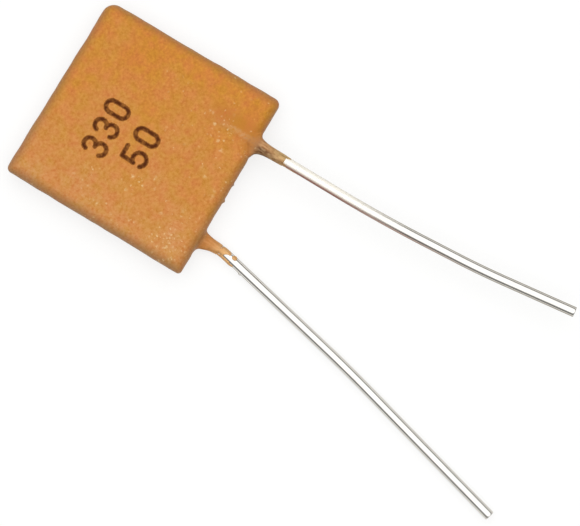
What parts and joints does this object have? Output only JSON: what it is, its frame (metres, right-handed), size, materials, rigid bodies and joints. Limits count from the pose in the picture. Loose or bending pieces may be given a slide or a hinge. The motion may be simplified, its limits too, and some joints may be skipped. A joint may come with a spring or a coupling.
{
  "type": "ceramic plate capacitor",
  "caption": "Square ceramic plate capacitor dipped in orange-tan lacquer, with a tinned wire lead soldered to each face; both leads leave one side and splay slightly.",
  "frame": {"origin": "on the surface that the part lies on, under the middle of the whole part", "axes": "+Z out of the marked front face, +Y from the leads' free ends towards the body, +X to the right as the mark is read"},
  "size_m": [0.0146, 0.0344, 0.0018],
  "materials": {
    "coating_lacquer": "semi-gloss dipped lacquer",
    "dielectric_ceramic": "matte, fired",
    "fired_silver": "matte, fired",
    "solder": "satin",
    "tinned_wire": "bright, tinned"
  },
  "bodies": {
    "root": {"coating": "coating_lacquer", "ceramic_plate": "dielectric_ceramic", "front_electrode": "fired_silver", "back_electrode": "fired_silver", "front_solder": "solder", "back_solder": "solder", "front_lead": "tinned_wire", "back_lead": "tinned_wire"}
  },
  "joints": []
}
